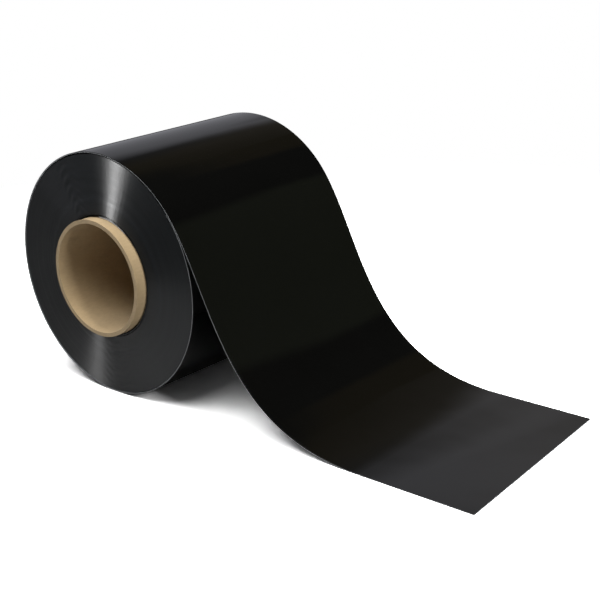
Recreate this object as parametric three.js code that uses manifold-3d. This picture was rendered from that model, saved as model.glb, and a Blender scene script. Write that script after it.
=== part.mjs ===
// Roll of sign vinyl: a board core, the web of self-adhesive film on its release liner wound round it,
// and the outermost turn, which leaves the roll in an S-curve and lies flat on the table in front of it.
// Millimetres, +Z up. X runs along the roll's axis, and the free end lies towards -Y.
// The origin is under the middle of the whole object, on the table.

import * as THREE from "three";
import { mergeVertices } from "three/addons/utils/BufferGeometryUtils.js";
import Module from "manifold-3d";

const wasm = await Module();
wasm.setup();

// Core: board plies wound as strips, each glued over the last, cut off square at both ends.
const coreBoreRadius = 38.1; // a 3 inch core
const plyCount = 4;
const plyThickness = 0.6;
const plyGap = 0.1; // glue line
const plyPitch = 125; // how far a strip advances along the core in one turn
const seamWidth = 0.5; // open butt seam between the edges of a strip
const seamStagger = THREE.MathUtils.degToRad(95); // from one ply's seam to the next one's
const coreProud = 8.25; // how far the core stands out of the winding at each end

// Web: film over liner. Both are thicker than the real ones, so that each is a solid of its own.
const webWidth = 152.4; // 6 inches
const filmThickness = 0.3;
const linerThickness = 0.3;
const layerGap = 0.1; // adhesive between film and liner
const turnGap = 0.1; // between a turn and the next

// Start of the winding.
const tapeThickness = 0.3;
const tapeLength = 25; // round the core

// Winding.
const rollRadius = 85; // over the outermost turn, where it leaves the roll
const runningGap = 0.3; // the wound turns turn inside the outermost one
const innerBand = 10; // the first turns, which were wound a little to one side
const bandShift = 0.4; // how far to the side

// Lead-off: from the roll down to the table, and the flat end.
const leaveAngle = THREE.MathUtils.degToRad(39); // above the axis, on the front of the roll
const leadOut = 132.4; // from the front of the roll to where the web touches down
const landing = 113; // how far before the touch-down the web starts to flatten
const flatLength = 76.5; // touch-down to the free end, along the middle
const endSkew = 12.3; // how far from square the free end is cut
const peelLength = 55; // the film's end that peels off the liner
const foldGap = 0.3; // between pieces that fold against each other

// Fineness of the curves.
const coreSegments = 48;
const turnSegments = 120; // so that the web rests on a corner straight under the axis
const leadSegments = 40;
const seamSegments = 40;

// Sizes that follow from the ones above.
const coreLength = webWidth + 2 * coreProud;
const plyStep = plyThickness + plyGap;
const coreRadius = coreBoreRadius + plyCount * plyStep - plyGap;
const filmBottom = linerThickness + layerGap;
const webThickness = filmBottom + filmThickness;
const turnStep = webThickness + turnGap;
const tapeRadius = coreRadius + turnGap;
const firstTurnRadius = tapeRadius + tapeThickness + turnGap;
const windingBore = firstTurnRadius + turnStep + webThickness + turnGap;
const windingRadius = rollRadius - turnStep - webThickness - runningGap;
const floorTurnShare = (leaveAngle + Math.PI / 2) / (2 * Math.PI);
const axisHeight = rollRadius - turnStep * (1 - floorTurnShare);
const touchDown = -rollRadius - leadOut;
const freeEnd = touchDown - flatLength;
const peelLine = freeEnd + peelLength;

const alongX = new THREE.Vector3(1, 0, 0);

const boardTan = new THREE.MeshStandardMaterial({ color: 0xa9855a, roughness: 0.9, metalness: 0 });
const filmBlack = new THREE.MeshStandardMaterial({ color: 0x0e0e0d, roughness: 0.12, metalness: 0 });
const edgeSlate = new THREE.MeshStandardMaterial({ color: 0x1f2224, roughness: 0.4, metalness: 0 });
const linerGrey = new THREE.MeshStandardMaterial({ color: 0x9c9fa2, roughness: 0.4, metalness: 0 });
const tapeWhite = new THREE.MeshStandardMaterial({ color: 0xd3d8de, roughness: 0.5, metalness: 0 });

const object = new THREE.Group();
const roll = new THREE.Group();
roll.position.z = axisHeight;
object.add(roll);

function addPiece(group, name, geometry, material) {
  const piece = new THREE.Mesh(geometry, material);
  piece.name = name;
  group.add(piece);
}

function solidOf(geometry) {
  const bare = geometry.clone();
  bare.deleteAttribute("normal");
  bare.deleteAttribute("uv");
  const merged = mergeVertices(bare);
  const vertProperties = merged.getAttribute("position").array;
  const triVerts = new Uint32Array(merged.index.array);
  return new wasm.Manifold(new wasm.Mesh({ numProp: 3, vertProperties, triVerts }));
}

function geometryOf(solid) {
  const mesh = solid.getMesh();
  const geometry = new THREE.BufferGeometry();
  geometry.setAttribute("position", new THREE.BufferAttribute(mesh.vertProperties, 3));
  geometry.setIndex(new THREE.BufferAttribute(mesh.triVerts, 1));
  geometry.computeVertexNormals();
  return geometry;
}

// A ring round the X axis, from [radius, x] corners that run round its section.
function turnedRing(corners, segments) {
  const profile = corners.map(([radius, x]) => new THREE.Vector2(radius, -x));
  profile.push(profile[0].clone());
  return new THREE.LatheGeometry(profile, segments).rotateZ(Math.PI / 2);
}

function tube(innerRadius, outerRadius, length, segments) {
  const half = length / 2;
  const corners = [
    [innerRadius, half],
    [outerRadius, half],
    [outerRadius, -half],
    [innerRadius, -half],
  ];
  return turnedRing(corners, segments);
}

// A bar along the core, twisted into a helix: it cuts the seam between the edges of a strip.
function seamCutter(innerRadius, outerRadius, phase) {
  const depth = outerRadius - innerRadius;
  const bar = new THREE.BoxGeometry(coreLength + 2 * seamWidth, 3 * depth, seamWidth, seamSegments);
  bar.translate(0, innerRadius + depth / 2, 0);
  const position = bar.getAttribute("position");
  const point = new THREE.Vector3();
  for (let i = 0; i < position.count; i += 1) {
    point.fromBufferAttribute(position, i);
    point.applyAxisAngle(alongX, phase + (2 * Math.PI * point.x) / plyPitch);
    position.setXYZ(i, point.x, point.y, point.z);
  }
  return bar;
}

function addCorePlies() {
  for (let i = 0; i < plyCount; i += 1) {
    const innerRadius = coreBoreRadius + i * plyStep;
    const outerRadius = innerRadius + plyThickness;
    const ply = solidOf(tube(innerRadius, outerRadius, coreLength, coreSegments));
    const seam = solidOf(seamCutter(innerRadius, outerRadius, i * seamStagger));
    addPiece(roll, `core_ply_${i + 1}`, geometryOf(ply.subtract(seam)), boardTan);
  }
}

// A point at a radius and an angle above the axis, on the front of the roll: x is the row's Y, y its Z.
function onRoll(radius, angle) {
  return new THREE.Vector2(-radius * Math.cos(angle), radius * Math.sin(angle));
}

// Samples along a spiral strip: each is a point of its outer face and the unit normal there.
function spiralSamples(startRadius, startAngle, sweep, segments) {
  const samples = [];
  for (let i = 0; i <= segments; i += 1) {
    const angle = startAngle - (sweep * i) / segments;
    const radius = startRadius + (turnStep * (startAngle - angle)) / (2 * Math.PI);
    samples.push({ point: onRoll(radius, angle), normal: onRoll(1, angle) });
  }
  return samples;
}

// Samples along the web's top face as it runs from the roll down to the table.
// It leaves with the roll's own direction and curvature, and lands flat.
function leadSamples() {
  const start = onRoll(rollRadius, leaveAngle);
  const heading = new THREE.Vector2(-Math.sin(leaveAngle), -Math.cos(leaveAngle));
  const end = new THREE.Vector2(touchDown, webThickness - axisHeight);
  const flattening = end.clone().add(new THREE.Vector2(landing, 0));
  const offTangent = Math.abs(flattening.clone().sub(start).cross(heading));
  const reach = Math.sqrt((2 / 3) * rollRadius * offTangent);
  const leaving = start.clone().addScaledVector(heading, reach);
  const curve = new THREE.CubicBezierCurve(start, leaving, flattening, end);
  const samples = [];
  for (let i = 1; i <= leadSegments; i += 1) {
    const tangent = curve.getTangent(i / leadSegments);
    const normal = new THREE.Vector2(tangent.y, -tangent.x);
    samples.push({ point: curve.getPoint(i / leadSegments), normal });
  }
  return samples;
}

// A strip of the web's width along the samples, between two depths below their face.
function strip(samples, topDepth, bottomDepth) {
  const at = ({ point, normal }, depth) => point.clone().addScaledVector(normal, -depth);
  const top = samples.map((sample) => at(sample, topDepth));
  const bottom = samples.map((sample) => at(sample, bottomDepth));
  const outline = new THREE.Shape([...top, ...bottom.reverse()]);
  const section = new THREE.ExtrudeGeometry(outline, { depth: webWidth, bevelEnabled: false });
  section.translate(0, 0, -webWidth / 2);
  const upright = new THREE.Matrix4().makeBasis(
    new THREE.Vector3(0, 1, 0),
    new THREE.Vector3(0, 0, 1),
    alongX,
  );
  return section.applyMatrix4(upright);
}

// The tape that holds the start of the web on the core.
function addStartTape() {
  const sweep = tapeLength / tapeRadius;
  const segments = Math.ceil((turnSegments * sweep) / (2 * Math.PI));
  const samples = [];
  for (let i = 0; i <= segments; i += 1) {
    const angle = Math.PI / 2 - (sweep * i) / segments;
    samples.push({ point: onRoll(tapeRadius + tapeThickness, angle), normal: onRoll(1, angle) });
  }
  addPiece(roll, "start_tape", strip(samples, 0, tapeThickness), tapeWhite);
}

// The first turn starts on the tape at the top of the core, film and liner together.
function addFirstTurn() {
  const startRadius = firstTurnRadius + webThickness;
  const samples = spiralSamples(startRadius, Math.PI / 2, 2 * Math.PI, turnSegments);
  addPiece(roll, "first_turn", strip(samples, 0, webThickness), edgeSlate);
}

// The turns between the first and the outermost, as one ring, with its first band a little to one side.
function addWoundTurns() {
  const half = webWidth / 2;
  const bandRadius = windingBore + innerBand;
  const corners = [
    [windingBore, half - bandShift],
    [bandRadius, half - bandShift],
    [bandRadius, half],
    [windingRadius, half],
    [windingRadius, -half],
    [bandRadius, -half],
    [bandRadius, -half - bandShift],
    [windingBore, -half - bandShift],
  ];
  addPiece(roll, "wound_turns", turnedRing(corners, turnSegments), edgeSlate);
}

// The outermost turn and the S-curve down to the table, as liner and film.
function addLeadOff() {
  const outermost = spiralSamples(rollRadius - turnStep, leaveAngle, 2 * Math.PI, turnSegments);
  const samples = [...outermost, ...leadSamples()];
  addPiece(roll, "film_turn", strip(samples, 0, filmThickness), filmBlack);
  addPiece(roll, "liner_turn", strip(samples, filmThickness + layerGap, webThickness), linerGrey);
}

// A flat piece of the web between two lines across it, from a height up. The far line may be skewed.
function flatPiece(startY, endY, skew, height, thickness) {
  const half = webWidth / 2;
  const plan = new THREE.Shape([
    new THREE.Vector2(-half, startY),
    new THREE.Vector2(half, startY),
    new THREE.Vector2(half, endY + skew / 2),
    new THREE.Vector2(-half, endY - skew / 2),
  ]);
  const geometry = new THREE.ExtrudeGeometry(plan, { depth: thickness, bevelEnabled: false });
  return geometry.translate(0, 0, height);
}

// The flat end on the table: the liner all along it, and the film in two lengths, of which the last peels.
function addFlatEnd() {
  const start = touchDown - foldGap;
  const peelStart = peelLine - foldGap;
  const liner = flatPiece(start, freeEnd, endSkew, 0, linerThickness);
  const filmMid = flatPiece(start, peelLine, 0, filmBottom, filmThickness);
  const filmEnd = flatPiece(peelStart, freeEnd, endSkew, filmBottom, filmThickness);
  addPiece(object, "liner_end", liner, linerGrey);
  addPiece(object, "film_mid", filmMid, filmBlack);
  addPiece(object, "film_end", filmEnd, filmBlack);
}

// Moves the object so that its origin lies under the middle of its box.
function centreOnTable() {
  const middle = new THREE.Box3().setFromObject(object).getCenter(new THREE.Vector3());
  object.position.set(-middle.x, -middle.y, 0);
}

addCorePlies();
addStartTape();
addFirstTurn();
addWoundTurns();
addLeadOff();
addFlatEnd();
centreOnTable();

export default object;
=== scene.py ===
"""Roll of sign vinyl: the looks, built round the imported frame. Metres, +Z up, the roll's axis along X."""

import math

import bmesh
import bpy
from mathutils import Euler, Matrix, Vector, noise


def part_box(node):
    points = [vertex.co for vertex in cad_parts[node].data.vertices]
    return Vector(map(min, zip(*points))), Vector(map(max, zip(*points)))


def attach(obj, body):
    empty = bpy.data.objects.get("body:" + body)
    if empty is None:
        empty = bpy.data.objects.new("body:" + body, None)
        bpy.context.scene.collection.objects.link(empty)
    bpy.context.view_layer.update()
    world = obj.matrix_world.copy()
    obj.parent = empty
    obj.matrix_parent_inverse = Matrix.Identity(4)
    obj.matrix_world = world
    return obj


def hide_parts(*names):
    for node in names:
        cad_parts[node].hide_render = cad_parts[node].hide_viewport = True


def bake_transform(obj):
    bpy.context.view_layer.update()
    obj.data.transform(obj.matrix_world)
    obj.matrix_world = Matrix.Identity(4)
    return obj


bl_info = {
    "name": "Roll of sign vinyl",
    "version": (1, 0, 0),
    "blender": (4, 5, 0),
    "location": "3D view > Sidebar > Vinyl roll",
    "description": "Builds a roll of glossy film on its liner and core, with its free end laid out",
    "category": "Object",
}

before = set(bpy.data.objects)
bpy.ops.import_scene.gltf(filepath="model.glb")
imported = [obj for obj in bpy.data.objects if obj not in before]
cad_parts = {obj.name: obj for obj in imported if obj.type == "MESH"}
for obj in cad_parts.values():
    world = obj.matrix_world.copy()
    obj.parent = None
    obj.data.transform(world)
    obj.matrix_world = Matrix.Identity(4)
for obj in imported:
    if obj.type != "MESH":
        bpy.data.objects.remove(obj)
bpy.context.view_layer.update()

PLY_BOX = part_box("core_ply_1")
WEB_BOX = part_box("film_turn")
LINER_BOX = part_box("liner_end")
AXIS = (PLY_BOX[0] + PLY_BOX[1]) / 2
HALF_WIDTH = WEB_BOX[1].x
HALF_CORE = PLY_BOX[1].x
TOUCH_DOWN = WEB_BOX[0].y
PEEL_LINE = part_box("film_mid")[0].y
PLIES = [name for name in sorted(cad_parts) if name.startswith("core_ply_")]
SHARP_ANGLE = math.radians(35)


class VinylRollSizes(bpy.types.PropertyGroup):
    """Sizes of the finished pieces, in metres."""

    roll_radius: bpy.props.FloatProperty(
        name="Roll radius",
        description="Over the film, where it leaves the roll",
        default=0.085,
        unit="LENGTH",
    )
    leave_angle: bpy.props.FloatProperty(
        name="Leaving angle",
        description="Above the axis, on the front",
        default=math.radians(39),
        unit="ROTATION",
    )
    landing: bpy.props.FloatProperty(
        name="Landing", description="How far before the table the web flattens", default=0.113, unit="LENGTH"
    )
    film: bpy.props.FloatProperty(
        name="Film", description="Thickness of the film", default=0.0003, unit="LENGTH"
    )
    liner: bpy.props.FloatProperty(
        name="Liner", description="Thickness of the release liner", default=0.0003, unit="LENGTH"
    )
    glue: bpy.props.FloatProperty(
        name="Glue", description="Gap between film and liner", default=0.0001, unit="LENGTH"
    )
    turn_gap: bpy.props.FloatProperty(
        name="Turn gap", description="Gap between two turns", default=0.0001, unit="LENGTH"
    )
    end_skew: bpy.props.FloatProperty(
        name="End skew", description="How far from square the free end is cut", default=0.0123, unit="LENGTH"
    )
    ply: bpy.props.FloatProperty(
        name="Ply", description="Thickness of one board ply", default=0.0006, unit="LENGTH"
    )
    ply_pitch: bpy.props.FloatProperty(
        name="Ply pitch", description="Advance of a board strip in one turn", default=0.125, unit="LENGTH"
    )
    tape: bpy.props.FloatProperty(
        name="Tape", description="Thickness of the start tape", default=0.0003, unit="LENGTH"
    )
    tape_length: bpy.props.FloatProperty(
        name="Tape length", description="Round the core", default=0.025, unit="LENGTH"
    )


class VinylRollFinishes(bpy.types.PropertyGroup):
    """Colours of the finished pieces, as sRGB hex."""

    film: bpy.props.StringProperty(
        name="Film", description="Glossy calendered film", default="090908"
    )
    adhesive: bpy.props.StringProperty(
        name="Adhesive", description="The film's sticky back", default="1c1c1d"
    )
    liner: bpy.props.StringProperty(
        name="Liner", description="Grey release film", default="9c9fa2"
    )
    edge: bpy.props.StringProperty(
        name="Slit edge", description="The edges of the wound turns", default="1b1d1f"
    )
    board: bpy.props.StringProperty(
        name="Board", description="Kraft core board", default="bfa782"
    )
    tape: bpy.props.StringProperty(
        name="Tape", description="Start tape", default="d3d8de"
    )


def sizes():
    return bpy.context.scene.vinyl_roll_sizes


def finishes():
    return bpy.context.scene.vinyl_roll_finishes


def turn_step():
    """From one turn's face to the next one's."""
    s = sizes()
    return s.film + s.glue + s.liner + s.turn_gap


# Materials


def linear(colour):
    """sRGB hex to linear RGBA."""
    channels = [int(colour[i : i + 2], 16) / 255 for i in (0, 2, 4)]
    return [c / 12.92 if c <= 0.04045 else ((c + 0.055) / 1.055) ** 2.4 for c in channels] + [1.0]


def shade(colour, factor):
    return [c * factor for c in linear(colour)[:3]] + [1.0]


def add(tree, kind, inputs=None, **settings):
    """Adds a node, with its settings, and sets or links its inputs."""
    made = tree.nodes.new(kind)
    for key, value in settings.items():
        setattr(made, key, value)
    for key, value in (inputs or {}).items():
        if isinstance(value, bpy.types.NodeSocket):
            tree.links.new(value, made.inputs[key])
        else:
            made.inputs[key].default_value = value
    return made


def start_material(name):
    material = bpy.data.materials.new(name)
    material.use_nodes = True
    material.node_tree.nodes.clear()
    return material, material.node_tree


def finish_material(tree, principled):
    add(tree, "ShaderNodeOutputMaterial", {"Surface": principled.outputs["BSDF"]})


def place_pattern(tree, scale, centre=(0, 0, 0)):
    """Object coordinates about a centre, stretched by a scale for each axis."""
    coordinates = add(tree, "ShaderNodeTexCoord")
    middle = add(
        tree,
        "ShaderNodeVectorMath",
        {0: coordinates.outputs["Object"], 1: centre},
        operation="SUBTRACT",
    )
    mapping = add(tree, "ShaderNodeMapping", {"Vector": middle.outputs["Vector"], "Scale": scale})
    return mapping.outputs["Vector"]


def spread(tree, value, low, high):
    """A 0 to 1 pattern spread from low to high."""
    ranged = add(tree, "ShaderNodeMapRange", {"Value": value, "To Min": low, "To Max": high})
    return ranged.outputs["Result"]


def leaning_normal(tree, outward, lean):
    """The surface's normal, leant outwards: a slit edge is burred over on its outer side."""
    turned = add(
        tree,
        "ShaderNodeVectorTransform",
        {"Vector": outward},
        vector_type="VECTOR",
        convert_from="OBJECT",
        convert_to="WORLD",
    )
    flat = add(tree, "ShaderNodeNewGeometry").outputs["Normal"]
    leant = add(
        tree,
        "ShaderNodeVectorMath",
        {0: turned.outputs["Vector"], 1: (lean, lean, lean), 2: flat},
        operation="MULTIPLY_ADD",
    )
    even = add(tree, "ShaderNodeVectorMath", {0: leant.outputs["Vector"]}, operation="NORMALIZE")
    return even.outputs["Vector"]


def lying_waves(tree):
    """Thin film never lies dead flat: it rises a little past the touch-down, and has long soft waves."""
    across = place_pattern(tree, (1, 1, 1), centre=(0, TOUCH_DOWN, 0))
    split = add(tree, "ShaderNodeSeparateXYZ", {"Vector": across})
    # The rise runs off square, as the free end's cut does.
    along = add(
        tree,
        "ShaderNodeMath",
        {0: split.outputs["X"], 1: 0.25, 2: split.outputs["Y"]},
        operation="MULTIPLY_ADD",
    )
    rise = add(
        tree,
        "ShaderNodeMapRange",
        {"Value": along.outputs[0], "From Min": -0.045, "From Max": 0.055},
        interpolation_type="SMOOTHSTEP",
    )
    risen = add(tree, "ShaderNodeBump", {"Height": rise.outputs["Result"], "Strength": 1, "Distance": 0.004})
    waves = add(tree, "ShaderNodeTexNoise", {"Vector": across, "Scale": 1 / 0.035, "Detail": 1})
    return add(
        tree,
        "ShaderNodeBump",
        {
            "Height": waves.outputs["Fac"],
            "Strength": 1,
            "Distance": 0.00012,
            "Normal": risen.outputs["Normal"],
        },
    ).outputs["Normal"]


def calendered_film():
    """Calendered PVC: black all through, high gloss with a faint orange peel and lines along the web."""
    material, tree = start_material("calendered_film")
    peel = add(
        tree,
        "ShaderNodeTexNoise",
        {"Vector": place_pattern(tree, (1, 1, 1)), "Scale": 1 / 0.009, "Detail": 2},
    )
    lines = add(
        tree,
        "ShaderNodeTexNoise",
        {"Vector": place_pattern(tree, (1 / 0.004, 1 / 0.3, 1 / 0.3)), "Scale": 1, "Detail": 3},
    )
    height = add(
        tree, "ShaderNodeMath", {0: peel.outputs["Fac"], 1: lines.outputs["Fac"]}, operation="ADD"
    )
    bump = add(
        tree,
        "ShaderNodeBump",
        {
            "Height": height.outputs[0],
            "Strength": 0.3,
            "Distance": 0.000008,
            "Normal": lying_waves(tree),
        },
    )
    haze = add(
        tree,
        "ShaderNodeTexNoise",
        {"Vector": place_pattern(tree, (1, 1, 1)), "Scale": 1 / 0.05, "Detail": 4},
    )
    tint = add(
        tree,
        "ShaderNodeMix",
        {
            "Factor": haze.outputs["Fac"],
            "A": shade(finishes().film, 0.8),
            "B": shade(finishes().film, 1.25),
        },
        data_type="RGBA",
    )
    principled = add(
        tree,
        "ShaderNodeBsdfPrincipled",
        {
            "Base Color": tint.outputs["Result"],
            "Roughness": spread(tree, haze.outputs["Fac"], 0.03, 0.07),
            "IOR": 1.53,
            "Normal": bump.outputs["Normal"],
        },
    )
    finish_material(tree, principled)
    return material


def adhesive_back():
    """Acrylic adhesive on the film's back: clear over black, with the fine grain of the liner it lay on."""
    material, tree = start_material("adhesive_back")
    grain = add(
        tree,
        "ShaderNodeTexNoise",
        {"Vector": place_pattern(tree, (1, 1, 1)), "Scale": 1 / 0.0015, "Detail": 3},
    )
    bump = add(
        tree,
        "ShaderNodeBump",
        {"Height": grain.outputs["Fac"], "Strength": 0.4, "Distance": 0.00005},
    )
    principled = add(
        tree,
        "ShaderNodeBsdfPrincipled",
        {
            "Base Color": linear(finishes().adhesive),
            "Roughness": spread(tree, grain.outputs["Fac"], 0.3, 0.45),
            "IOR": 1.47,
            "Normal": bump.outputs["Normal"],
        },
    )
    finish_material(tree, principled)
    return material


def release_film():
    """Silicone-coated polyester liner: grey and slippery, with a soft gloss and a cloudy haze."""
    material, tree = start_material("release_film")
    cloud = add(
        tree,
        "ShaderNodeTexNoise",
        {"Vector": place_pattern(tree, (1, 1, 1)), "Scale": 1 / 0.03, "Detail": 5},
    )
    tint = add(
        tree,
        "ShaderNodeMix",
        {
            "Factor": cloud.outputs["Fac"],
            "A": shade(finishes().liner, 0.85),
            "B": shade(finishes().liner, 1.2),
        },
        data_type="RGBA",
    )
    principled = add(
        tree,
        "ShaderNodeBsdfPrincipled",
        {
            "Base Color": tint.outputs["Result"],
            "Roughness": spread(tree, cloud.outputs["Fac"], 0.2, 0.32),
            "IOR": 1.57,
        },
    )
    finish_material(tree, principled)
    return material


def slit_edges():
    """The slit edges of many turns, side by side: fine rings that stretch a highlight along the radius."""
    material, tree = start_material("slit_edges")
    drawn_pitch, band_pitch = 0.0005, 0.004
    mark_spacing, mark_length = 0.003, 0.02
    burr_lean = 0.32
    centred = place_pattern(tree, (0, 1, 1), centre=AXIS)
    radius = add(tree, "ShaderNodeVectorMath", {0: centred}, operation="LENGTH").outputs["Value"]
    outward = add(tree, "ShaderNodeVectorMath", {0: centred}, operation="NORMALIZE").outputs["Vector"]
    # Real turns are 0.25 mm apart; drawn at 0.5 mm, which is about the finest that shows.
    rings = add(
        tree,
        "ShaderNodeTexNoise",
        {"W": radius, "Scale": 1 / drawn_pitch, "Detail": 3, "Roughness": 0.7},
        noise_dimensions="1D",
    )
    bands = add(
        tree,
        "ShaderNodeTexNoise",
        {"W": radius, "Scale": 1 / band_pitch, "Detail": 4, "Roughness": 0.6},
        noise_dimensions="1D",
    )
    # Marks of the slitting knife run across the turns; they are spaced along the rim.
    round_the_rim = add(
        tree,
        "ShaderNodeVectorMath",
        {0: outward, "Scale": sizes().roll_radius / mark_spacing},
        operation="SCALE",
    )
    along = add(tree, "ShaderNodeCombineXYZ", {"X": radius})
    marks_at = add(
        tree,
        "ShaderNodeVectorMath",
        {0: along.outputs["Vector"], 1: (1 / mark_length, 0, 0), 2: round_the_rim.outputs["Vector"]},
        operation="MULTIPLY_ADD",
    )
    marks = add(
        tree, "ShaderNodeTexNoise", {"Vector": marks_at.outputs["Vector"], "Scale": 1, "Detail": 4}
    )
    height = add(
        tree, "ShaderNodeMath", {0: rings.outputs["Fac"], 1: marks.outputs["Fac"]}, operation="ADD"
    )
    bump = add(
        tree,
        "ShaderNodeBump",
        {
            "Height": height.outputs[0],
            "Strength": 0.3,
            "Distance": 0.0001,
            "Normal": leaning_normal(tree, outward, burr_lean),
        },
    )
    tint = add(
        tree,
        "ShaderNodeMix",
        {
            "Factor": bands.outputs["Fac"],
            "A": shade(finishes().edge, 0.7),
            "B": shade(finishes().edge, 1.4),
        },
        data_type="RGBA",
    )
    tangent = add(tree, "ShaderNodeTangent", direction_type="RADIAL", axis="X")
    principled = add(
        tree,
        "ShaderNodeBsdfPrincipled",
        {
            "Base Color": tint.outputs["Result"],
            "Roughness": spread(tree, bands.outputs["Fac"], 0.36, 0.44),
            "IOR": 1.5,
            "Anisotropic": 1.0,
            "Anisotropic Rotation": 0.25,
            "Tangent": tangent.outputs["Tangent"],
            "Normal": bump.outputs["Normal"],
        },
    )
    finish_material(tree, principled)
    return material


def kraft_board():
    """Unbleached kraft board: dull, with fibres along the strip and darker specks."""
    material, tree = start_material("kraft_board")
    fibres = add(
        tree,
        "ShaderNodeTexNoise",
        {"Vector": place_pattern(tree, (1 / 0.004, 1 / 0.0012, 1 / 0.0012)), "Scale": 1, "Detail": 5},
    )
    clouds = add(
        tree,
        "ShaderNodeTexNoise",
        {"Vector": place_pattern(tree, (1, 1, 1)), "Scale": 1 / 0.012, "Detail": 3},
    )
    mixed = add(
        tree, "ShaderNodeMath", {0: fibres.outputs["Fac"], 1: clouds.outputs["Fac"]}, operation="ADD"
    )
    half = add(tree, "ShaderNodeMath", {0: mixed.outputs[0], 1: 0.5}, operation="MULTIPLY")
    tint = add(
        tree,
        "ShaderNodeMix",
        {
            "Factor": half.outputs[0],
            "A": shade(finishes().board, 0.72),
            "B": shade(finishes().board, 1.2),
        },
        data_type="RGBA",
    )
    bump = add(
        tree,
        "ShaderNodeBump",
        {"Height": fibres.outputs["Fac"], "Strength": 0.5, "Distance": 0.00015},
    )
    principled = add(
        tree,
        "ShaderNodeBsdfPrincipled",
        {
            "Base Color": tint.outputs["Result"],
            "Roughness": spread(tree, clouds.outputs["Fac"], 0.75, 0.9),
            "IOR": 1.5,
            "Normal": bump.outputs["Normal"],
        },
    )
    finish_material(tree, principled)
    return material


def splicing_tape():
    """White splicing tape: satin, and lightly creped."""
    material, tree = start_material("splicing_tape")
    crepe = add(
        tree,
        "ShaderNodeTexNoise",
        {"Vector": place_pattern(tree, (1 / 0.01, 1 / 0.001, 1 / 0.001)), "Scale": 1, "Detail": 3},
    )
    bump = add(
        tree,
        "ShaderNodeBump",
        {"Height": crepe.outputs["Fac"], "Strength": 0.4, "Distance": 0.0001},
    )
    principled = add(
        tree,
        "ShaderNodeBsdfPrincipled",
        {
            "Base Color": linear(finishes().tape),
            "Roughness": spread(tree, crepe.outputs["Fac"], 0.5, 0.7),
            "Normal": bump.outputs["Normal"],
        },
    )
    finish_material(tree, principled)
    return material


# Shapes


def on_roll(radius, angle, x=0.0):
    """A point at a radius and an angle above the axis, on the front of the roll."""
    return Vector((x, AXIS.y - radius * math.cos(angle), AXIS.z + radius * math.sin(angle)))


def spiral_line(start_radius, start_angle, steps):
    """One turn of the web's face, growing by one turn's thickness."""
    line = []
    for i in range(steps + 1):
        share = i / steps
        line.append(on_roll(start_radius + turn_step() * share, start_angle - 2 * math.pi * share))
    return line


def lead_line(steps):
    """The web's face from where it leaves the roll to the table: the roll's own curvature, then flat."""
    s = sizes()
    start = on_roll(s.roll_radius, s.leave_angle)
    heading = Vector((0, -math.sin(s.leave_angle), -math.cos(s.leave_angle)))
    end = Vector((0, TOUCH_DOWN, s.film + s.glue + s.liner))
    flattening = end + Vector((0, s.landing, 0))
    off_tangent = (flattening - start).cross(heading).length
    # This reach gives the curve the roll's own curvature where it starts.
    leaving = start + heading * math.sqrt(2 / 3 * s.roll_radius * off_tangent)
    line = []
    for i in range(1, steps + 1):
        t = i / steps
        weights = ((1 - t) ** 3, 3 * t * (1 - t) ** 2, 3 * t * t * (1 - t), t**3)
        point = Vector()
        for weight, corner in zip(weights, (start, leaving, flattening, end)):
            point += corner * weight
        line.append(point)
    return line


def flat_line(start_y, end_y, steps, height):
    """A straight stretch of the web's face on the table."""
    return [Vector((0, start_y + (end_y - start_y) * i / steps, height)) for i in range(1, steps + 1)]


def chain(mesh, points):
    """Vertices joined in a row."""
    verts = [mesh.verts.new(point) for point in points]
    return [mesh.edges.new(pair) for pair in zip(verts, verts[1:])]


def extrude_across(mesh, edges, steps):
    """Carries a row of edges across the web, so that it becomes a sheet."""
    step = Vector((2 * HALF_WIDTH / steps, 0, 0))
    for _ in range(steps):
        made = bmesh.ops.extrude_edge_only(mesh, edges=edges)["geom"]
        verts = [item for item in made if isinstance(item, bmesh.types.BMVert)]
        edges = [item for item in made if isinstance(item, bmesh.types.BMEdge)]
        edges = [edge for edge in edges if all(v in verts for v in edge.verts)]
        bmesh.ops.translate(mesh, verts=verts, vec=step)


def skew_end(mesh, from_y, end_y):
    """Shears the free end so that its cut runs off square."""
    for vert in mesh.verts:
        share = (from_y - vert.co.y) / (from_y - end_y)
        if share > 0:
            vert.co.y += sizes().end_skew * share * vert.co.x / (2 * HALF_WIDTH)


def face_up(mesh, point, direction):
    """Turns a sheet's faces so that the one nearest to a point looks along a direction."""
    mesh.normal_update()
    nearest = min(mesh.faces, key=lambda f: (f.calc_center_median() - point).length)
    if nearest.normal.dot(direction) < 0:
        bmesh.ops.reverse_faces(mesh, faces=mesh.faces[:])


def thicken(mesh, thickness):
    """Gives a sheet its thickness, away from its face."""
    bmesh.ops.solidify(mesh, geom=mesh.faces[:], thickness=thickness)
    mesh.normal_update()


def finish_mesh(mesh, name, materials):
    """Turns a bmesh into a shaded object at the origin."""
    data = bpy.data.meshes.new(name)
    mesh.to_mesh(data)
    mesh.free()
    data.shade_smooth()
    data.set_sharp_from_angle(angle=SHARP_ANGLE)
    for material in materials:
        data.materials.append(material)
    made = bpy.data.objects.new(name, data)
    bpy.context.scene.collection.objects.link(made)
    return made


def web_sheet(name, line, thickness, across, materials, skew_from=None):
    """A stretch of film or liner along a line of its top face."""
    mesh = bmesh.new()
    edges = chain(mesh, [point - Vector((HALF_WIDTH, 0, 0)) for point in line])
    extrude_across(mesh, edges, across)
    if skew_from is not None:
        skew_end(mesh, skew_from, line[-1].y)
    face_up(mesh, line[-1], Vector((0, 0, 1)))
    thicken(mesh, thickness)
    return finish_mesh(mesh, name, materials)


def back_faces(made, line_height):
    """Gives the faces that look down on the table the object's second material."""
    for face in made.data.polygons:
        if face.normal.z < -0.5 and face.center.z < line_height:
            face.material_index = 1


# Pieces


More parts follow.
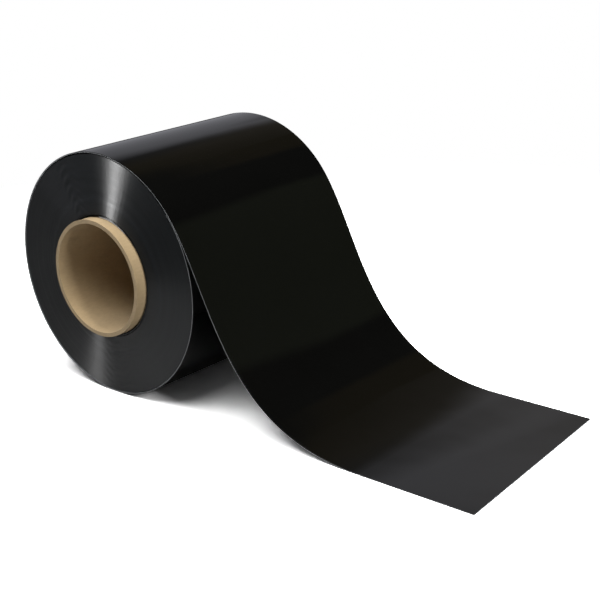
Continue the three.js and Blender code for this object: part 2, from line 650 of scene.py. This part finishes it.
class VINYL_OT_core(bpy.types.Operator):
    """Board core: plies wound as strips, each with its open helical seam"""

    bl_idname = "vinyl.core"
    bl_label = "Board core"

    axial_steps = 24
    round_steps = 144
    seam_width = 0.0005

    def make_ply(self, node, index, material):
        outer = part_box(node)[1].z - AXIS.z
        turn = 2 * math.pi - self.seam_width / outer
        phase = math.radians(95 * index)
        mesh = bmesh.new()
        points = []
        for i in range(self.axial_steps + 1):
            x = HALF_CORE * (2 * i / self.axial_steps - 1)
            angle = phase + 2 * math.pi * x / sizes().ply_pitch
            points.append(Vector((x, AXIS.y + outer * math.cos(angle), AXIS.z + outer * math.sin(angle))))
        edges = chain(mesh, points)
        verts = mesh.verts[:]
        bmesh.ops.spin(
            mesh,
            geom=verts + edges,
            cent=AXIS,
            axis=(1, 0, 0),
            angle=turn,
            steps=self.round_steps,
            use_merge=False,
        )
        top = AXIS + Vector((0, 0, outer))
        face_up(mesh, top, Vector((0, 0, 1)))
        thicken(mesh, sizes().ply)
        return finish_mesh(mesh, f"board_ply_{index + 1}", [material])

    def execute(self, context):
        board = kraft_board()
        for index, node in enumerate(PLIES):
            ply = self.make_ply(node, index, board)
            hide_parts(node)
            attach(ply, "roll")
        return {"FINISHED"}


class VINYL_OT_winding(bpy.types.Operator):
    """Wound turns, their first turn and the tape that starts it"""

    bl_idname = "vinyl.winding"
    bl_label = "Winding"

    round_steps = 288
    face_steps = 96
    band = 0.010
    band_shift = 0.0004
    band_softness = 0.003
    set_back = 0.0002
    calm_margin = 0.004
    tape_steps = 24
    # For each soft sector: its middle, its half angle, and its arcs' bulge, spacing and height.
    soft_sectors = (
        (math.radians(-86), 0.24, 0.009, 0.0055, 0.00012),
        (math.radians(114), 0.16, 0.007, 0.0065, 0.00022),
    )

    def ring_wander(self, radius, side):
        """How far a turn's edge stands in or out: the web wanders a little as it is wound."""
        slow = noise.noise(Vector((radius / 0.006, side, 0.3)))
        fast = noise.noise(Vector((radius / 0.0011, side, 4.7)))
        return 0.00007 * slow + 0.00004 * fast

    def spoke(self, radius, angle, centre, half_angle, bulge, spacing, height):
        """Nested arcs where the turns bulge outwards in a narrow sector, as a soft roll's do."""
        offset = math.remainder(angle - centre, 2 * math.pi) / half_angle
        if abs(offset) >= 1:
            return 0.0
        fade = (1 - offset * offset) ** 2
        phase = (radius - bulge * (1 - offset * offset)) / spacing
        return height * fade * math.sin(2 * math.pi * phase)

    def make_wound_turns(self, material):
        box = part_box("wound_turns")
        outer = box[1].z - AXIS.z
        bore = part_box("first_turn")[1].z - AXIS.z + sizes().turn_gap
        mesh = bmesh.new()
        loop = []
        for side in (-1, 1):
            face = []
            for i in range(self.face_steps + 1):
                radius = bore + (outer - bore) * i / self.face_steps
                shift = self.band_shift * (1 - self.smooth_step(radius, bore + self.band))
                x = side * (HALF_WIDTH - self.set_back) - shift + self.ring_wander(radius, side)
                face.append(Vector((x, AXIS.y, AXIS.z + radius)))
            loop += face if side < 0 else face[::-1]
        edges = chain(mesh, loop)
        mesh.verts.ensure_lookup_table()
        edges.append(mesh.edges.new((mesh.verts[-1], mesh.verts[0])))
        bmesh.ops.spin(
            mesh,
            geom=mesh.verts[:] + edges,
            cent=AXIS,
            axis=(1, 0, 0),
            angle=2 * math.pi,
            steps=self.round_steps,
            use_merge=True,
        )
        bmesh.ops.remove_doubles(mesh, verts=mesh.verts[:], dist=1e-6)
        self.ripple(mesh, bore, outer)
        bmesh.ops.recalc_face_normals(mesh, faces=mesh.faces[:])
        return finish_mesh(mesh, "wound_web", [material])

    def smooth_step(self, radius, edge):
        """0 inside the edge, 1 outside it, over a few turns."""
        t = min(max((radius - edge) / self.band_softness + 0.5, 0), 1)
        return t * t * (3 - 2 * t)

    def ripple(self, mesh, bore, outer):
        """Moves the end faces in and out where the winding is soft."""
        for vert in mesh.verts:
            y, z = vert.co.y - AXIS.y, vert.co.z - AXIS.z
            radius, angle = math.hypot(y, z), math.atan2(z, -y)
            inside = min(1, (radius - bore) / self.calm_margin, (outer - radius) / self.calm_margin)
            if inside <= 0:
                continue
            vert.co.x += inside * sum(self.spoke(radius, angle, *sector) for sector in self.soft_sectors)

    def make_first_turn(self, material):
        s = sizes()
        web = s.film + s.glue + s.liner
        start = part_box("first_turn")[1].z - AXIS.z - turn_step()
        mesh = bmesh.new()
        line = spiral_line(start, math.pi / 2, 180)
        edges = chain(mesh, [point - Vector((HALF_WIDTH, 0, 0)) for point in line])
        extrude_across(mesh, edges, 1)
        face_up(mesh, AXIS + Vector((0, 0, start)), Vector((0, 0, 1)))
        thicken(mesh, web)
        return finish_mesh(mesh, "first_wrap", [material])

    def make_tape(self, material):
        s = sizes()
        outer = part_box("start_tape")[1].z - AXIS.z
        mesh = bmesh.new()
        angle = s.tape_length / (outer - s.tape)
        steps = self.tape_steps
        line = [on_roll(outer, math.pi / 2 - angle * i / steps) for i in range(steps + 1)]
        edges = chain(mesh, [point - Vector((HALF_WIDTH, 0, 0)) for point in line])
        extrude_across(mesh, edges, 1)
        face_up(mesh, line[0], Vector((0, 0, 1)))
        thicken(mesh, s.tape)
        return finish_mesh(mesh, "splice_tape", [material])

    def execute(self, context):
        edge = slit_edges()
        pieces = (
            (self.make_wound_turns(edge), "wound_turns", "wound_edge"),
            (self.make_first_turn(edge), "first_turn", "wound_edge"),
            (self.make_tape(splicing_tape()), "start_tape", "tape"),
        )
        for made, node, slot in pieces:
            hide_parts(node)
            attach(made, "roll")
        return {"FINISHED"}


class VINYL_OT_web(bpy.types.Operator):
    """Film and liner: the outermost turn, the fall to the table and the free end"""

    bl_idname = "vinyl.web"
    bl_label = "Film and liner"

    turn_steps = 240
    lead_steps = 90
    middle_steps = 12
    end_steps = 60
    across = 12
    bend = 0.016
    fold = 0.020
    seam_back = 0.0115

    def execute(self, context):
        s = sizes()
        film, back, liner = calendered_film(), adhesive_back(), release_film()
        top = s.film + s.glue + s.liner
        free_end = (LINER_BOX[0].y + LINER_BOX[0].y + s.end_skew) / 2
        seam = PEEL_LINE + self.seam_back
        skew_from = PEEL_LINE - self.fold
        turn = spiral_line(s.roll_radius - turn_step(), s.leave_angle, self.turn_steps)
        roll_and_lead = turn + lead_line(self.lead_steps)

        long_line = roll_and_lead + flat_line(TOUCH_DOWN, seam, self.middle_steps, top)
        long_film = web_sheet("film_run", long_line, s.film, self.across, [film, back])
        self.hold(long_film, "film", ("film_turn", "film_mid"), "web", "web_end", TOUCH_DOWN, self.bend)

        end_line = [Vector((0, seam, top))] + flat_line(seam, free_end, self.end_steps, top)
        end_film = web_sheet("film_end_run", end_line, s.film, self.across, [film, back], skew_from)
        self.hold(end_film, "film", ("film_end",), "web_end", "peeled_film", PEEL_LINE, self.fold)
        self.declare_end(end_film, end_line, "liner_run")

        depth = s.film + s.glue
        face_line = roll_and_lead + flat_line(TOUCH_DOWN, free_end, self.end_steps, top)
        liner_line = self.below(face_line, depth)
        long_liner = web_sheet("liner_run", liner_line, s.liner, self.across, [liner], skew_from)
        self.hold(long_liner, "liner", ("liner_turn", "liner_end"), "web", "web_end", TOUCH_DOWN, self.bend)
        self.declare_end(long_liner, liner_line, "wound_web")
        for made in (long_film, end_film):
            back_faces(made, top)
        return {"FINISHED"}

    def below(self, line, depth):
        """The line moved to a depth below the web's face."""
        moved = []
        for i, point in enumerate(line):
            along = line[min(i + 1, len(line) - 1)] - line[max(i - 1, 0)]
            up = along.cross(Vector((1, 0, 0))).normalized()
            moved.append(point - up * depth)
        return moved

    def hold(self, made, slot, nodes, body_a, body_b, line_y, reach):
        """The piece stands for its nodes: they are hidden, and the piece's transform is baked."""
        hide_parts(*nodes)
        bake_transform(made)

    def declare_end(self, made, line, rest):
        """Takes no step. The sheet's free end is cut off square only roughly: its longest edge is half the
        skew longer.
        """


class VINYL_OT_stage(bpy.types.Operator):
    """White floor, soft lights and the camera"""

    bl_idname = "vinyl.stage"
    bl_label = "Stage"

    floor_side = 6.0
    floor_drop = 0.0002

    def by_ray(self, tree, kind, others, chosen):
        """One shader for a kind of ray, another for all others."""
        path = add(tree, "ShaderNodeLightPath")
        return add(
            tree,
            "ShaderNodeMixShader",
            {0: path.outputs[kind], 1: others.outputs[0], 2: chosen.outputs[0]},
        )

    def make_floor(self):
        """White to the eye; what it sends up into gloss and on to the object is held down, as by flags."""
        mesh = bmesh.new()
        bmesh.ops.create_grid(mesh, x_segments=1, y_segments=1, size=self.floor_side / 2)
        bmesh.ops.translate(mesh, verts=mesh.verts[:], vec=(0, 0, -self.floor_drop))
        material, tree = start_material("studio_floor")
        place = add(tree, "ShaderNodeTexCoord").outputs["Object"]
        distance = add(tree, "ShaderNodeVectorMath", {0: place}, operation="LENGTH").outputs["Value"]
        # Painted light: in gloss the floor is brightest near the roll and darker further out, a painted pool
        # of light.
        falling = add(
            tree,
            "ShaderNodeMapRange",
            {"Value": distance, "From Min": 0.15, "From Max": 0.6, "To Min": 0.5, "To Max": 0.12},
        )
        swept = self.gate(tree, distance, 0.4, 0.7)
        bounced = add(tree, "ShaderNodeBsdfDiffuse", {"Color": linear("959595")})
        mirrored = add(tree, "ShaderNodeBsdfDiffuse", {"Color": falling.outputs["Result"]})
        near = add(tree, "ShaderNodeBsdfDiffuse", {"Color": (2.3, 2.3, 2.3, 1.0)})
        sweep = add(tree, "ShaderNodeEmission", {"Color": linear("ffffff")})
        seen = add(tree, "ShaderNodeMixShader", {0: swept, 1: near.outputs[0], 2: sweep.outputs[0]})
        lit = self.by_ray(tree, "Is Glossy Ray", bounced, mirrored)
        shown = self.by_ray(tree, "Is Camera Ray", lit, seen)
        add(tree, "ShaderNodeOutputMaterial", {"Surface": shown.outputs[0]})
        finish_mesh(mesh, "studio_floor", [material])

    def make_world(self):
        world = bpy.data.worlds.new("studio")
        world.use_nodes = True
        tree = world.node_tree
        tree.nodes.clear()
        ambient = add(tree, "ShaderNodeBackground", {"Color": linear("ffffff"), "Strength": 0.08})
        reflected = add(tree, "ShaderNodeBackground", {"Color": self.reflected_studio(tree)})
        seen = add(tree, "ShaderNodeBackground", {"Color": linear("ffffff")})
        lit = self.by_ray(tree, "Is Glossy Ray", ambient, reflected)
        shown = self.by_ray(tree, "Is Camera Ray", lit, seen)
        add(tree, "ShaderNodeOutputWorld", {"Surface": shown.outputs[0]})
        bpy.context.scene.world = world

    def gate(self, tree, value, shut, full):
        """0 where shut, 1 where full, soft between."""
        return add(
            tree,
            "ShaderNodeMapRange",
            {"Value": value, "From Min": shut, "From Max": full},
            interpolation_type="SMOOTHSTEP",
        ).outputs["Result"]

    def both(self, tree, first, second):
        """Two masks, multiplied."""
        return add(tree, "ShaderNodeMath", {0: first, 1: second}, operation="MULTIPLY").outputs[0]

    def reflected_studio(self, tree):
        """What gloss reflects: a dark room, a soft card low behind the right, dim walls and a soft top."""
        split = add(
            tree, "ShaderNodeSeparateXYZ", {"Vector": add(tree, "ShaderNodeTexCoord").outputs["Generated"]}
        )
        height = split.outputs["Z"]
        azimuth = add(
            tree, "ShaderNodeMath", {0: split.outputs["X"], 1: split.outputs["Y"]}, operation="ARCTAN2"
        ).outputs[0]
        # The card ends higher on its near side, and its far side brightens towards its top edge.
        far_side = self.gate(tree, azimuth, math.radians(49), math.radians(54))
        top_edge = spread(tree, far_side, 0.62, 0.57)
        brighter = add(
            tree,
            "ShaderNodeMapRange",
            {"Value": height, "From Min": 0.4, "From Max": 0.462, "To Min": 0.15, "To Max": 0.31},
        ).outputs["Result"]
        lower = self.both(
            tree, self.gate(tree, height, top_edge, 0.43), spread(tree, far_side, 0.29, brighter)
        )
        upper = self.both(tree, self.gate(tree, height, 0.76, 0.5), spread(tree, far_side, 0.07, 0.05))
        card = add(tree, "ShaderNodeMath", {0: lower, 1: upper}, operation="ADD").outputs[0]
        card_sides = self.both(
            tree,
            self.gate(tree, azimuth, math.radians(-25), math.radians(-10)),
            self.gate(tree, azimuth, math.radians(77), math.radians(75)),
        )
        side_wall_sides = self.both(
            tree,
            self.gate(tree, azimuth, math.radians(50), math.radians(62)),
            self.gate(tree, azimuth, math.radians(96), math.radians(90)),
        )
        side_wall = self.both(tree, side_wall_sides, self.gate(tree, height, 0.76, 0.7))
        front_wall = self.both(
            tree,
            self.gate(tree, azimuth, math.radians(118), math.radians(122)),
            self.gate(tree, height, 0.58, 0.51),
        )
        total = linear("1a1a1a")[:3]
        for colour, mask in (
            ("f4f5ff", self.both(tree, card_sides, card)),
            ("3a311b", side_wall),
            ("404535", front_wall),
            ("6a6a6e", self.gate(tree, height, 0.86, 0.96)),
        ):
            total = add(
                tree,
                "ShaderNodeVectorMath",
                {0: mask, 1: linear(colour)[:3], 2: total},
                operation="MULTIPLY_ADD",
            ).outputs["Vector"]
        return total

    def add_light(self, name, direction, distance, size, power):
        """A soft box that looks at the roll from a direction."""
        data = bpy.data.lights.new(name, "AREA")
        data.energy = power
        data.size = size
        lamp = bpy.data.objects.new(name, data)
        place = AXIS + Vector(direction).normalized() * distance
        turned = (AXIS - place).to_track_quat("-Z", "Y")
        lamp.matrix_world = Matrix.LocRotScale(place, turned, None)
        bpy.context.scene.collection.objects.link(lamp)
        lamp.visible_camera = False
        return lamp

    def make_camera(self):
        data = bpy.data.cameras.new("camera")
        data.lens = 79.4
        data.shift_x = -0.013
        data.shift_y = 0.0626
        data.clip_end = 20
        camera = bpy.data.objects.new("camera", data)
        azimuth, elevation = math.radians(-48.89), math.radians(20.79)
        distance, level = 0.858, math.radians(-1.88)
        away = Vector(
            (
                math.sin(azimuth) * math.cos(elevation),
                -math.cos(azimuth) * math.cos(elevation),
                math.sin(elevation),
            )
        )
        target = Vector((-0.026, AXIS.y - 0.1368, 0.0547))
        turned = (-away).to_track_quat("-Z", "Y").to_matrix() @ Euler((0, 0, level)).to_matrix()
        camera.matrix_world = Matrix.Translation(target + away * distance) @ turned.to_4x4()
        bpy.context.scene.collection.objects.link(camera)
        bpy.context.scene.camera = camera

    def execute(self, context):
        context.scene.view_settings.view_transform = "Standard"
        self.make_floor()
        self.make_world()
        self.add_light("end_light", (-0.68, 0.5, 0.54), 1.6, 0.2, 24).visible_diffuse = False
        self.add_light("top_light", (-0.3, 0.0, 1.0), 1.4, 1.3, 25).visible_glossy = False
        self.add_light("front_light", (-0.12, -0.9, 0.42), 1.5, 0.3, 10).visible_glossy = False
        self.make_camera()
        return {"FINISHED"}


class VINYL_PT_panel(bpy.types.Panel):
    """Sidebar panel that lists the pieces"""

    bl_idname = "VINYL_PT_panel"
    bl_label = "Vinyl roll"
    bl_space_type = "VIEW_3D"
    bl_region_type = "UI"
    bl_category = "Vinyl roll"

    def draw(self, context):
        for group in (sizes(), finishes()):
            for name in group.__annotations__:
                self.layout.prop(group, name)
        for operator in OPERATORS:
            self.layout.operator(operator.bl_idname)


OPERATORS = (VINYL_OT_stage, VINYL_OT_core, VINYL_OT_winding, VINYL_OT_web)
CLASSES = (VinylRollSizes, VinylRollFinishes, *OPERATORS, VINYL_PT_panel)


def register():
    for cls in CLASSES:
        bpy.utils.register_class(cls)
    bpy.types.Scene.vinyl_roll_sizes = bpy.props.PointerProperty(type=VinylRollSizes)
    bpy.types.Scene.vinyl_roll_finishes = bpy.props.PointerProperty(type=VinylRollFinishes)


def unregister():
    del bpy.types.Scene.vinyl_roll_finishes
    del bpy.types.Scene.vinyl_roll_sizes
    for cls in reversed(CLASSES):
        bpy.utils.unregister_class(cls)


def main():
    register()
    bpy.ops.vinyl.stage()
    bpy.ops.vinyl.core()
    bpy.ops.vinyl.winding()
    bpy.ops.vinyl.web()


if __name__ == "__main__":
    main()
